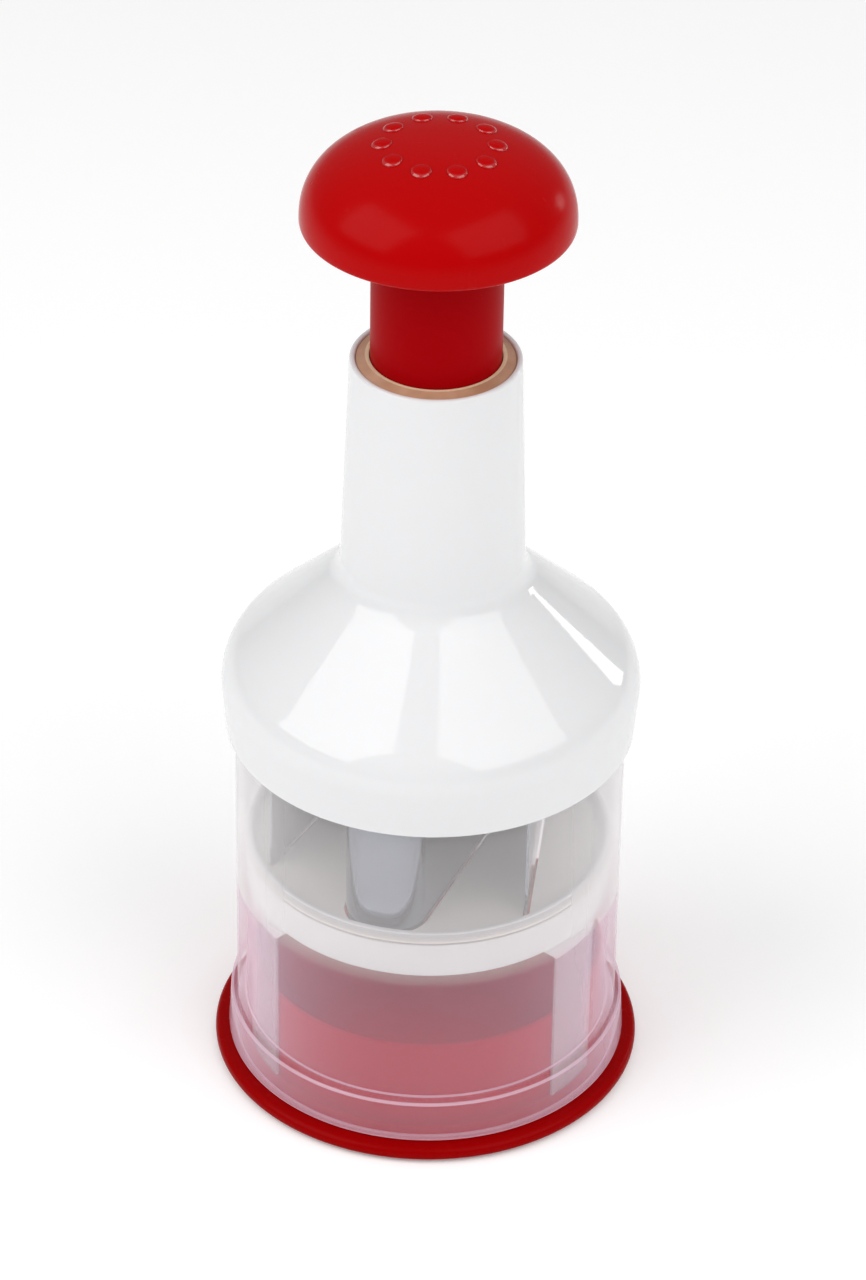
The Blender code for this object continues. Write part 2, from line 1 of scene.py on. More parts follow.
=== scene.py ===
# Push-down food chopper: fine surfaces, finishes, floor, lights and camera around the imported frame.
# Settings are in millimetres and degrees. Heights are above the table, and the chopper's axis is Z.
import json
import math
import bmesh
import bpy
from mathutils import Matrix, Vector


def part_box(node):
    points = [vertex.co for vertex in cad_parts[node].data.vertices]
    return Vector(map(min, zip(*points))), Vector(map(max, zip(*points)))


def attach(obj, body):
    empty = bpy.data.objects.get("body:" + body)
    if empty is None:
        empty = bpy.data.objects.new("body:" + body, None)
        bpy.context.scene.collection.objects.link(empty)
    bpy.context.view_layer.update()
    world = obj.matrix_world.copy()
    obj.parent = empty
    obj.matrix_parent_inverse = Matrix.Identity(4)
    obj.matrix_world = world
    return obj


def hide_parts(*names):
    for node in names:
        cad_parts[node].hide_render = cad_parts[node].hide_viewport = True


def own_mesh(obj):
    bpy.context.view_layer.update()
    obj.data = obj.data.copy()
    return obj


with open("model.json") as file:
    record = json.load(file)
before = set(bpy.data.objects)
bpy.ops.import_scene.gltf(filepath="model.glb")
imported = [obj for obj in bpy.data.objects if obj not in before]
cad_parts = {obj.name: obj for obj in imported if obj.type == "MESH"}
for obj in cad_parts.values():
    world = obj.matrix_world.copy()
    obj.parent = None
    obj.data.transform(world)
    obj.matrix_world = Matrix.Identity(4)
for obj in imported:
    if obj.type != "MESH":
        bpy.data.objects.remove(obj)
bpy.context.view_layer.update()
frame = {"nodes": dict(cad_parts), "record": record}
mm = 0.001


def low(node):
    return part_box(node)[0][2] / mm


def high(node):
    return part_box(node)[1][2] / mm


def radiusOf(node):
    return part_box(node)[1][0] / mm


# Outlines and bmesh helpers

def oval(center, halfSizes, start, stop, count):
    angles = [math.radians(start + (stop - start) * step / count) for step in range(count + 1)]
    return [(center[0] + halfSizes[0] * math.cos(a), center[1] + halfSizes[1] * math.sin(a)) for a in angles]


def rounded(points, closed=True, count=5):
    result = []                      # (x, y, radius) corners become arcs, (x, y) corners stay sharp
    for index, point in enumerate(points):
        if len(point) == 2 or (not closed and index in (0, len(points) - 1)):
            result.append(tuple(point[:2]))
            continue
        corner = Vector(point[:2])
        before = (Vector(points[index - 1][:2]) - corner).normalized()
        after = (Vector(points[(index + 1) % len(points)][:2]) - corner).normalized()
        half = before.angle(after) / 2
        center = corner + (before + after).normalized() * point[2] / math.sin(half)
        first = corner + before * point[2] / math.tan(half) - center
        side = 1 if first.cross(-before) > 0 else -1
        for step in range(count + 1):
            spoke = first.copy()
            spoke.rotate(Matrix.Rotation(side * (math.pi - 2 * half) * step / count, 2))
            result.append(tuple(center + spoke))
    return result


def spinOutline(mesh, outline, steps):
    # turns a closed (radius, height) outline in mm about the Z axis
    verts = [mesh.verts.new((x * mm, 0.0, z * mm)) for x, z in outline]
    edges = [mesh.edges.new(pair) for pair in zip(verts, verts[1:] + verts[:1])
             if pair[0].co.x > 0 or pair[1].co.x > 0]
    bmesh.ops.spin(mesh, geom=verts + edges, cent=(0, 0, 0), axis=(0, 0, 1), angle=math.tau, steps=steps,
                   use_merge=True)
    bmesh.ops.remove_doubles(mesh, verts=mesh.verts, dist=1e-6)
    bmesh.ops.dissolve_degenerate(mesh, edges=mesh.edges, dist=1e-6)


def makePiece(name, mesh, sharp=32.0, solid=True):
    if solid:
        bmesh.ops.recalc_face_normals(mesh, faces=mesh.faces)
        if mesh.calc_volume(signed=True) < 0:
            bmesh.ops.reverse_faces(mesh, faces=mesh.faces)
    data = bpy.data.meshes.new(name)
    mesh.to_mesh(data)
    mesh.free()
    data.shade_smooth()
    data.set_sharp_from_angle(angle=math.radians(sharp))
    piece = bpy.data.objects.new(name, data)
    bpy.context.collection.objects.link(piece)
    return piece


def turnedPiece(name, outline, steps=128, sharp=32.0):
    mesh = bmesh.new()
    spinOutline(mesh, outline, steps)
    return makePiece(name, mesh, sharp)


def settle(piece):
    # applies the modifiers, so that a cutter or a vertex group is no longer needed
    bpy.context.view_layer.update()
    evaluated = piece.evaluated_get(bpy.context.evaluated_depsgraph_get())
    data = bpy.data.meshes.new_from_object(evaluated)
    piece.modifiers.clear()
    piece.data = data
    return piece


def cutAway(piece, tool, sharp=32.0):
    cut = piece.modifiers.new("Cut", "BOOLEAN")
    cut.operation = "DIFFERENCE"
    cut.solver = "EXACT"
    cut.object = tool
    settle(piece)
    bpy.data.objects.remove(tool)
    piece.data.shade_smooth()
    piece.data.set_sharp_from_angle(angle=math.radians(sharp))


def finishPiece(piece, body, slot, material, *nodes):
    piece.data.materials.clear()
    piece.data.materials.append(material)
    if nodes:
        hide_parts(*nodes)
    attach(piece, body)


# Shader maths as expressions

class Wire:
    def __init__(self, paint, socket):
        self.paint = paint
        self.socket = socket

    def math(self, operation, *values):
        return self.paint.node("ShaderNodeMath", {"operation": operation}, values)

    def __add__(self, other):
        return self.math("ADD", self, other)

    def __radd__(self, other):
        return self.math("ADD", other, self)

    def __sub__(self, other):
        return self.math("SUBTRACT", self, other)

    def __rsub__(self, other):
        return self.math("SUBTRACT", other, self)

    def __mul__(self, other):
        return self.math("MULTIPLY", self, other)

    def __rmul__(self, other):
        return self.math("MULTIPLY", other, self)

    def __truediv__(self, other):
        return self.math("DIVIDE", self, other)

    def __pow__(self, other):
        return self.math("POWER", self, other)

    def ramp(self, start, stop):
        # 0 below start, 1 above stop, smooth between
        return self.paint.node("ShaderNodeMapRange", {"interpolation_type": "SMOOTHSTEP"},
                               {"Value": self, "From Min": start, "From Max": stop})


class Paint:
    def __init__(self, name, owner=None):
        self.owner = owner or bpy.data.materials.new(name)
        self.owner.use_nodes = True
        self.tree = self.owner.node_tree
        self.tree.nodes.clear()
        self.output = self.tree.nodes.new("ShaderNodeOutputWorld" if owner else "ShaderNodeOutputMaterial")

    def node(self, kind, settings=None, values=(), out=0):
        made = self.tree.nodes.new(kind)
        for name, value in (settings or {}).items():
            setattr(made, name, value)
        pairs = values.items() if isinstance(values, dict) else enumerate(values)
        for key, value in pairs:
            if isinstance(value, Wire):
                self.tree.links.new(value.socket, made.inputs[key])
            elif value is not None:
                made.inputs[key].default_value = value
        return Wire(self, made.outputs[out])

    def place(self):
        return self.node("ShaderNodeTexCoord", out="Object")

    def axes(self):
        split = self.node("ShaderNodeSeparateXYZ", values={"Vector": self.place()})
        return [Wire(self, socket) for socket in split.socket.node.outputs]

    def reach(self):
        # distance from the axis in mm
        x, y = self.axes()[:2]
        return (x * x + y * y) ** 0.5 / mm

    def noise(self, scale, detail=3.0, stretch=None):
        spot = self.place()
        if stretch:
            spot = self.node("ShaderNodeMapping", values={"Vector": spot, "Scale": stretch})
        return self.node("ShaderNodeTexNoise", values={"Vector": spot, "Scale": scale, "Detail": detail})

    def blend(self, amount, first, second):
        # colours: first where amount is 0, second where it is 1
        mixed = self.tree.nodes.new("ShaderNodeMix")
        mixed.data_type = "RGBA"
        for socket, value in zip((mixed.inputs["Factor"], mixed.inputs[6], mixed.inputs[7]),
                                 (amount, first, second)):
            if isinstance(value, Wire):
                self.tree.links.new(value.socket, socket)
            else:
                socket.default_value = value if socket.type == "VALUE" else (*value, 1.0)
        return Wire(self, mixed.outputs[2])

    def bump(self, height, strength, distance):
        return self.node("ShaderNodeBump", values={"Height": height, "Strength": strength,
                                                   "Distance": distance})

    def principled(self, **values):
        named = {name.replace("_", " "): value for name, value in values.items()}
        for name in ("Base Color", "Emission Color"):
            if isinstance(named.get(name), tuple):
                named[name] = (*named[name], 1.0)
        return self.node("ShaderNodeBsdfPrincipled", values=named)

    def surface(self, shader):
        self.tree.links.new(shader.socket, self.output.inputs["Surface"])
        return self.owner


def shaded(color, share):
    return tuple(min(1, channel * share) for channel in color)


def mouldedPlastic(name, color, roughness, grain=0.0, soft=0.0, tint=0.06, shine=0.5, polished=False,
                   edge=None):
    # glossy moulded plastic: slight colour drift, sink marks, faint rub marks
    # polished adds a clear coat on steep sides; edge is (radius, share): painted shade, the colour scaled by
    # share outside that radius
    paint = Paint(name)
    drift = paint.noise(18.0, 2.0)
    rub = paint.noise(260.0, 4.0, (1.0, 1.0, 0.12)).ramp(0.56, 0.74)
    shade = paint.blend(drift, shaded(color, 1 - tint), shaded(color, 1 + tint))
    height = paint.noise(60.0, 2.0) * 0.8 + paint.noise(900.0, 2.0) * (0.08 + grain)
    extra = {}
    if soft:
        extra = {"Subsurface_Weight": soft, "Subsurface_Radius": (0.004, 0.003, 0.003), "Subsurface_Scale": 1.0}
    if polished:
        normal = paint.node("ShaderNodeNewGeometry", out="Normal")
        upright = paint.node("ShaderNodeSeparateXYZ", values={"Vector": normal}, out="Z")
        extra = {"Coat_Weight": (1 - upright).ramp(0.10, 0.24), "Coat_Roughness": 0.02, "Coat_IOR": 1.75}
    # painted shade: outside the edge radius the colour is darkened by share
    if edge:
        radius, share = edge
        shade = paint.blend(paint.reach().ramp(radius - 0.4, radius + 0.4), shade, shaded(color, share))
    return paint.surface(paint.principled(
        Base_Color=shade, Roughness=roughness + 0.05 * drift + 0.10 * rub,
        Normal=paint.bump(height, 0.10 + grain, 0.0004), IOR=1.5, Specular_IOR_Level=shine, **extra))


def clearPlastic(name, veil, lines, roughness, clearTint):
    # thin clear wall: what is behind shows unbent, with gloss and a white veil that grows towards the
    # silhouette; lines are (height, half width, strength) of painted highlights, bright bands where a thick edge
    # gathers light
    paint = Paint(name)
    facing = paint.node("ShaderNodeLayerWeight", values={"Blend": 0.5}, out="Facing")
    height = paint.axes()[2] / mm
    smear = paint.noise(35.0, 3.0, (1.0, 1.0, 0.4))
    upper = height.ramp(veil["step"] - 1.0, veil["step"] + 1.0)
    # the veil's colour changes at the step height; on the cup, the pink below it is painted light from the red
    # base
    shade = paint.blend(upper, veil["lowColor"], veil["highColor"])
    amount = veil["low"] + (veil["high"] - veil["low"]) * upper + veil["edge"] * facing ** 2.5 + 0.02 * smear
    # painted highlights: the veil is raised in thin bands at the listed heights
    for level, half, strength in lines:
        amount = amount + strength * (height.ramp(level - 2 * half, level - half)
                                      - height.ramp(level + half, level + 2 * half))
    gloss = paint.principled(Base_Color=shade, Roughness=roughness + 0.03 * smear, IOR=1.5,
                             Normal=paint.bump(paint.noise(45.0, 1.0), 0.05, 0.0004))
    through = paint.node("ShaderNodeBsdfTransparent", values={"Color": (*clearTint, 1.0)})
    return paint.surface(paint.node("ShaderNodeMixShader", values=(amount, through, gloss)))


def cagePlastic(settings):
    # the band is white and nearly opaque, the tabs less so, and the legs are a thin veil
    paint = Paint("cagePlastic")
    height = paint.axes()[2] / mm
    tabs = height.ramp(settings["tabLow"] - 0.3, settings["tabLow"] + 0.3)
    band = height.ramp(settings["bandLow"] - 0.3, settings["bandLow"] + 0.3)
    milk = paint.noise(30.0, 3.0)
    opacity = settings["legVeil"] + (settings["tabVeil"] - settings["legVeil"]) * tabs
    opacity = opacity + (settings["bandVeil"] - settings["tabVeil"]) * band + 0.05 * milk
    shade = paint.blend(milk, (0.84, 0.82, 0.82), (0.88, 0.86, 0.86))
    return paint.surface(paint.principled(
        Base_Color=shade, Roughness=0.22 + 0.08 * milk, Alpha=opacity, IOR=1.5,
        Normal=paint.bump(paint.noise(500.0, 2.0), 0.06, 0.0003)))


def polishedSteel(name, color, roughness, stretch, scratch):
    # fine scratches, drawn out by stretch, and faint waves that bend the reflections
    paint = Paint(name)
    lines = paint.noise(700.0, 3.0, stretch)
    wave = paint.noise(14.0, 1.0)
    shade = paint.blend(lines, shaded(color, 0.93), color)
    return paint.surface(paint.principled(
        Base_Color=shade, Metallic=1.0, Roughness=roughness + scratch * lines,
        Normal=paint.bump(wave + 0.04 * lines, 0.12, 0.002)))


def bushPlastic():
    # cream bearing plastic with painted shade: the body's tan-brown is painted shade, and the inner lip is left
    # a light cream
    paint = Paint("bushPlastic")
    lip = 1 - paint.reach().ramp(radiusOf("plunger_tube") + 0.9, radiusOf("plunger_tube") + 1.2)
    cloud = paint.noise(70.0, 3.0, (1.0, 1.0, 0.5))
    # painted shade: the body's tan-brown colours stand in for shade on the cream plastic
    body = paint.blend(cloud.ramp(0.35, 0.7), (0.40, 0.20, 0.11), (0.60, 0.36, 0.24))
    return paint.surface(paint.principled(
        Base_Color=paint.blend(lip, body, (0.88, 0.70, 0.46)), Roughness=0.25 + 0.2 * cloud,
        Subsurface_Weight=0.3, Subsurface_Radius=(0.004, 0.002, 0.001), Subsurface_Scale=1.0, IOR=1.5))


def softRubber():
    paint = Paint("softRubber")
    grain = paint.noise(1400.0, 2.0)
    dust = paint.noise(40.0, 4.0).ramp(0.45, 0.8)
    return paint.surface(paint.principled(
        Base_Color=paint.blend(dust, (0.028, 0.028, 0.030), (0.075, 0.073, 0.070)), Roughness=0.62 + 0.2 * grain,
        Normal=paint.bump(grain, 0.25, 0.0002)))


cageSettings = {"bandLow": 48.0, "tabLow": 44.0, "bandVeil": 0.95, "tabVeil": 0.66, "legVeil": 0.30,
                "legs": (-65.2, 54.8, 174.8), "legHalf": 10.0, "chamfer": 5.6, "legFoot": 20.0, "wall": 0.8,
                "edge": 0.15, "columns": 240}

knobColor = (0.435, 0.0003, 0.0010)
red = mouldedPlastic("redPlastic", knobColor, 0.18, shine=0.055)
# painted shade: the base's outer flange, down by the table, is darkened to two thirds
baseRed = mouldedPlastic("baseRedPlastic", (0.44, 0.0003, 0.0010), 0.24, shine=0.03, edge=(45.2, 0.66))
# painted shade: the plunger tube's red is the knob's red darkened, standing in for the knob's shadow on it
shadedRed = mouldedPlastic("shadedRedPlastic", (0.335, 0.0002, 0.002), 0.36, shine=0.02)
dotRed = mouldedPlastic("dotRed", knobColor, 0.18, shine=0.055, polished=True)
white = mouldedPlastic("whitePlastic", (0.78, 0.78, 0.79), 0.03, soft=0.15, tint=0.01)
grey = mouldedPlastic("greyPlastic", (0.28, 0.28, 0.29), 0.40, grain=0.1)
# painted light: below the step the cup's veil is tinted pink, standing in for red light thrown from the base
# inside
cupClear = clearPlastic(
    "cupClear", {"low": 0.08, "high": 0.15, "edge": 0.62, "step": 47.0, "lowColor": (0.97, 0.74, 0.88),
                 "highColor": (0.95, 0.93, 0.93)},
    # painted highlights at the ridge, near the foot and near the top
    ((13.9, 0.16, 0.36), (4.3, 0.22, 0.32), (95.8, 0.2, 0.4)), 0.04, (0.985, 0.98, 0.985))
discClear = clearPlastic(
    "discClear", {"low": 0.80, "high": 0.55, "edge": 0.12, "step": 57.6, "lowColor": (0.95, 0.88, 0.83),
                  "highColor": (0.90, 0.89, 0.90)},
    # painted highlights near the disc's rim
    ((59.5, 0.12, 0.45), (57.1, 0.1, 0.2)), 0.10, (0.95, 0.94, 0.93))
cageWhite = cagePlastic(cageSettings)
bladeSteel = polishedSteel("bladeSteel", (0.27, 0.295, 0.35), 0.07, (1.0, 1.0, 0.03), 0.07)
platedSteel = polishedSteel("platedSteel", (0.50, 0.50, 0.51), 0.24, (1.0, 1.0, 1.0), 0.15)
wireSteel = polishedSteel("wireSteel", (0.48, 0.48, 0.50), 0.20, (1.0, 1.0, 1.0), 0.12)
bushTan = bushPlastic()
rubber = softRubber()
print("finishes made")


# Base

def buildBase():
    size = {"floor": 19.0, "floorUnder": 17.0, "wall": 1.5, "bowl": 40.4, "top": high("base_cap"),
            "flangeLow": low("base_cap"), "flangeHigh": 3.7, "rim": radiusOf("base_cap"),
            "groove": (43.2, 47.3, 2.0), "ring": (43.5, 47.0, 1.7)}
    grooveIn, grooveOut, grooveRoof = size["groove"]
    ringIn, ringOut, ringTop = size["ring"]
    bore = size["bowl"] - size["wall"]
    outline = rounded([
        (0.0, size["floorUnder"]), (bore, size["floorUnder"], 1.0), (bore, size["flangeLow"]),
        (grooveIn, size["flangeLow"]), (grooveIn, grooveRoof), (grooveOut, grooveRoof),
        (grooveOut, size["flangeLow"]),
        (size["rim"], size["flangeLow"], 0.9), (size["rim"], size["flangeHigh"], 1.6),
        (size["bowl"], size["flangeHigh"], 0.5), (size["bowl"], size["top"], 0.8), (bore, size["top"], 0.8),
        (bore, size["floor"], 1.0), (0.0, size["floor"])])
    cap = turnedPiece("baseCap", outline, 160)
    finishPiece(cap, "base", "red_plastic", baseRed, "base_cap")
    ring = turnedPiece("antiSlipRing", rounded([
        (ringIn, 0.0, 0.3), (ringOut, 0.0, 0.3), (ringOut, ringTop, 0.4), (ringIn, ringTop, 0.4)]), 128)
    finishPiece(ring, "base", "soft_rubber", rubber, "anti_slip_ring")


buildBase()
print("base made")


# Cup

def buildCup():
    size = {"radius": 43.8, "wall": 2.0, "foot": radiusOf("chopping_cup"), "ridge": 45.3,
            "ridgeHeight": 13.8, "bottom": low("chopping_cup"), "top": high("chopping_cup"),
            "footBore": 44.1, "flareBore": 43.6, "flareHeight": 11.5, "boreFoot": 14.2}
    bore = size["radius"] - size["wall"]
    outline = rounded([
        (size["footBore"], size["bottom"], 0.4), (size["foot"], size["bottom"], 0.5),
        (size["ridge"], size["ridgeHeight"], 0.45), (size["radius"], size["ridgeHeight"] + 0.8, 0.3),
        (size["radius"], size["top"], 0.7), (bore, size["top"], 0.7), (bore, size["boreFoot"], 1.0),
        (size["flareBore"], size["flareHeight"], 1.0)])
    cup = turnedPiece("choppingCup", outline, 192)
    finishPiece(cup, "cup", "clear_plastic", cupClear, "chopping_cup")


buildCup()
print("cup made")


# Cage: a band with three legs, bent round from a flat outline

def buildCage():
    s = cageSettings
    radius = radiusOf("scraper_cage") * mm
    top, bottom = high("scraper_cage"), low("scraper_cage")
    mesh = bmesh.new()
    step = 360.0 / s["columns"]

    def sheet(stops, levels):
        rows = []
        for level in levels:
            rows.append([mesh.verts.new((math.radians(a), z * mm, 0.0)) for a, z in zip(stops, level)])
        for under, over in zip(rows, rows[1:]):
            for left in range(len(stops) - 1):
                mesh.faces.new((under[left], under[left + 1], over[left + 1], over[left]))

    for center in s["legs"]:
        reach = s["legHalf"] + s["chamfer"]
        spans = ((-60.0, -reach), (-reach, -s["legHalf"]), (-s["legHalf"], s["legHalf"]),
                 (s["legHalf"], reach), (reach, 60.0))
        for start, stop in spans:
            count = max(2, round((stop - start) / step))
            stops = [center + start + (stop - start) * k / count for k in range(count + 1)]
            band, tab = [s["bandLow"]] * (count + 1), [s["tabLow"]] * (count + 1)
            sheet(stops, (band, [top] * (count + 1)))
            if start == -s["legHalf"]:
                sheet(stops, ([bottom] * (count + 1), [s["legFoot"]] * (count + 1), tab, band))
            elif stop == -s["legHalf"] or start == s["legHalf"]:
                drop = s["bandLow"] - s["tabLow"]
                near = [k / count if stop == -s["legHalf"] else 1 - k / count for k in range(count + 1)]
                sheet(stops, ([s["bandLow"] - drop * share for share in near], band))
    bmesh.ops.remove_doubles(mesh, verts=mesh.verts, dist=1e-6)
    bmesh.ops.dissolve_degenerate(mesh, edges=mesh.edges, dist=1e-6)
    for vert in mesh.verts:
        angle = vert.co.x - math.pi / 2
        vert.co = Vector((radius * math.cos(angle), radius * math.sin(angle), vert.co.y))
    bmesh.ops.remove_doubles(mesh, verts=mesh.verts, dist=1e-6)
    bmesh.ops.recalc_face_normals(mesh, faces=mesh.faces)
    cage = makePiece("scraperCage", mesh, solid=False)
    wall = cage.modifiers.new("Wall", "SOLIDIFY")
    wall.thickness = s["wall"] * mm
    wall.offset = -1.0
    edge = cage.modifiers.new("Edge", "BEVEL")
    edge.width = s["edge"] * mm
    edge.segments = 2
    edge.limit_method = "ANGLE"
    edge.angle_limit = math.radians(50)
    settle(cage)
    finishPiece(cage, "cup", "cage_plastic", cageWhite, "scraper_cage")


buildCage()
print("cage made")


# Blade, and the disc and carrier that are slotted for it

bladeSettings = {"thick": 0.6, "yaw": -17.0, "span": 30.0, "endY": -23.0, "backFold": (16.5, 47.0, 2.5),
                 "nose": (8.3, -38.0, 7.6), "ground": 3.2, "edgeShare": 0.12,
                 "middle": 76.0, "slotRoom": 0.8, "grooveRoom": 0.7}


def bladePath(count, overrun=0.0):
    s = bladeSettings
    across, back, fold = s["backFold"]
    noseX, noseY, nose = s["nose"]
    corners = [(-s["span"], s["endY"]), (-across, back, fold), (-noseX, noseY, nose), (noseX, noseY, nose),
               (across, back, fold), (s["span"], s["endY"])]
    path = [Vector(point) for point in rounded(corners, closed=False, count=count)]
    path[0] += (path[0] - path[1]).normalized() * overrun
    path[-1] += (path[-1] - path[-2]).normalized() * overrun
    turn = Matrix.Rotation(math.radians(s["yaw"]), 2)
    return [turn @ point for point in path]


def uprightStrip(name, thick, levels, count, overrun=0.0, shares=None):
    # a strip along the blade's path, with a row of edges at each level; shares thin it row by row
    mesh = bmesh.new()
    path = bladePath(count, overrun)
    verts = [mesh.verts.new((point.x * mm, point.y * mm, levels[0] * mm)) for point in path]
    edges = [mesh.edges.new(pair) for pair in zip(verts, verts[1:])]
    for below, above in zip(levels, levels[1:]):
        raised = bmesh.ops.extrude_edge_only(mesh, edges=edges)["geom"]
        edges = [item for item in raised if isinstance(item, bmesh.types.BMEdge)
                 and all(vert in raised for vert in item.verts)]
        moved = [item for item in raised if isinstance(item, bmesh.types.BMVert)]
        bmesh.ops.translate(mesh, vec=(0.0, 0.0, (above - below) * mm), verts=moved)
    bmesh.ops.recalc_face_normals(mesh, faces=mesh.faces)
    piece = makePiece(name, mesh, solid=False)
    wall = piece.modifiers.new("Wall", "SOLIDIFY")
    wall.thickness = thick * mm
    wall.offset = 0.0
    if shares:
        group = piece.vertex_groups.new(name="thick")
        for vert in piece.data.vertices:
            row = min(range(len(levels)), key=lambda k: abs(levels[k] * mm - vert.co.z))
            group.add([vert.index], shares[row], "REPLACE")
        wall.vertex_group = "thick"
    return settle(piece)


def buildBlade():
    bottom, top = low("chopping_blade"), high("chopping_blade")
    levels = (bottom, bottom + bladeSettings["ground"], bladeSettings["middle"], top)
    blade = uprightStrip("choppingBlade", bladeSettings["thick"], levels, 14,
                         shares=(bladeSettings["edgeShare"], 1.0, 1.0, 1.0))
    blade.data.set_sharp_from_angle(angle=math.radians(24))
    finishPiece(blade, "blade_set", "polished_steel", bladeSteel, "chopping_blade")


def buildDisc():
    size = {"rim": radiusOf("scraper_disc"), "rimWall": 1.3, "floor": 57.0, "spigot": 40.3,
            "top": high("scraper_disc"), "under": low("scraper_disc"), "seat": 56.7}
    outline = rounded([
        (0.0, size["under"]), (size["spigot"], size["under"], 0.3), (size["spigot"], size["seat"]),
        (size["rim"], size["seat"], 0.3), (size["rim"], size["top"], 0.4),
        (size["rim"] - size["rimWall"], size["top"], 0.4), (size["rim"] - size["rimWall"], size["floor"], 0.5),
        (0.0, size["floor"])])
    disc = turnedPiece("scraperDisc", outline, 160)
    slot = uprightStrip("slotTool", bladeSettings["thick"] + bladeSettings["slotRoom"],
                        (size["under"] - 2, size["top"] + 2), 10, 0.4)
    cutAway(disc, slot)
    finishPiece(disc, "disc", "disc_plastic", discClear, "scraper_disc")


def buildCarrier():
    bottom, top = low("blade_carrier"), high("blade_carrier")
    size = {"radius": radiusOf("blade_carrier"), "plate": bottom + 3.5, "hub": 8.5, "screw": 1.7,
            "head": 4.3, "headSeat": 96.2, "socket": 5.3, "socketFloor": 98.0}
    outline = rounded([
        (size["screw"], size["headSeat"]), (size["head"], size["headSeat"]), (size["head"], bottom, 0.3),
        (size["radius"], bottom, 0.5), (size["radius"], size["plate"], 0.5), (size["hub"], size["plate"], 1.5),
        (size["hub"], top, 0.4), (size["socket"], top), (size["socket"], size["socketFloor"]),
        (size["screw"], size["socketFloor"])])
    carrier = turnedPiece("bladeCarrier", outline, 128)
    groove = uprightStrip("grooveTool", bladeSettings["thick"] + bladeSettings["grooveRoom"],
                          (bottom - 2, high("chopping_blade") + 0.3), 10, 0.35)
    cutAway(carrier, groove)
    finishPiece(carrier, "blade_set", "white_plastic", white, "blade_carrier")


buildBlade()
buildDisc()
buildCarrier()
print("blade, disc and carrier made")


# Bell and bush

def buildBell():
    size = {"rimLow": low("bell_housing"), "rim": 45.9, "shell": radiusOf("bell_housing"), "shellTop": 100.4,
            "edge": 12.2, "flare": 8.8, "facing": 47.0, "neckFootRadius": 20.4, "neckTop": high("bell_housing"),
            "neckTopRadius": 18.6, "mouth": 17.3, "seat": 165.3, "wall": 2.2, "socket": 44.2, "stop": 42.9,
            "cupTop": 96.3, "rimRound": 0.6, "seatStep": 1.7}
    rise, run = math.sin(math.radians(size["facing"])), math.cos(math.radians(size["facing"]))
    bends = size["edge"] + size["flare"]
    across = size["shell"] - bends * (1 - run) - size["neckFootRadius"]
    neckFoot = size["shellTop"] + bends * rise + across * run / rise

    def curves(inset, flareSteps, edgeSteps):
        flare, edge = size["flare"] + inset, size["edge"] - inset
        bend = oval((size["neckFootRadius"] + size["flare"], neckFoot), (flare, flare), 180,
                    180 + size["facing"], flareSteps)
        return bend + oval((size["shell"] - size["edge"], size["shellTop"]), (edge, edge), size["facing"], 0,
                            edgeSteps)

    boreFoot = size["neckFootRadius"] - size["wall"]
    neck = rounded([
        (size["neckFootRadius"], neckFoot), (size["neckTopRadius"], size["neckTop"], 0.6),
        (size["mouth"], size["neckTop"], 0.5), (size["mouth"], size["seat"]),
        (boreFoot - size["seatStep"], size["seat"]), (boreFoot, neckFoot)], closed=False)
    outline = [(size["socket"], size["rimLow"])]
    outline += oval((size["rim"] - size["rimRound"], size["rimLow"] + size["rimRound"]),
                    (size["rimRound"], size["rimRound"]), -90, 0, 5)
    outline += list(reversed(curves(0.0, 32, 28))) + neck[1:-1] + curves(size["wall"], 16, 12)
    outline += [(size["stop"], size["cupTop"]), (size["socket"], size["cupTop"])]
    bell = turnedPiece("bellHousing", outline, 192, sharp=40)
    finishPiece(bell, "housing", "white_plastic", white, "bell_housing")


def buildBush():
    tube = radiusOf("plunger_tube")
    bottom, top = low("neck_bush"), high("neck_bush")
    outer = radiusOf("neck_bush") + 0.25
    outline = rounded([
        (tube + 0.2, bottom, 0.3), (outer, bottom, 0.3), (outer, top - 0.9, 0.2), (tube + 1.1, top, 0.4),
        (tube + 0.2, top - 0.1)])
    bush = turnedPiece("neckBush", outline, 128)
    finishPiece(bush, "housing", "bush_plastic", bushTan, "neck_bush")


buildBell()
buildBush()
print("bell and bush made")


# Plunger

def buildTube():
    size = {"outer": radiusOf("plunger_tube"), "bore": 12.2, "hole": 3.4, "deckLow": 205.0, "deckHigh": 208.0,
            "bottom": low("plunger_tube"), "top": high("plunger_tube")}
    outline = rounded([
        (size["bore"], size["bottom"], 0.3), (size["outer"], size["bottom"], 0.6), (size["outer"], size["top"]),
        (size["bore"], size["top"]), (size["bore"], size["deckHigh"]), (size["hole"], size["deckHigh"]),
        (size["hole"], size["deckLow"]), (size["bore"], size["deckLow"])])
    tube = turnedPiece("plungerTube", outline, 128)
    # the tube's red carries painted shade for the knob's shadow
    finishPiece(tube, "plunger", "deep_red_plastic", shadedRed, "plunger_tube")


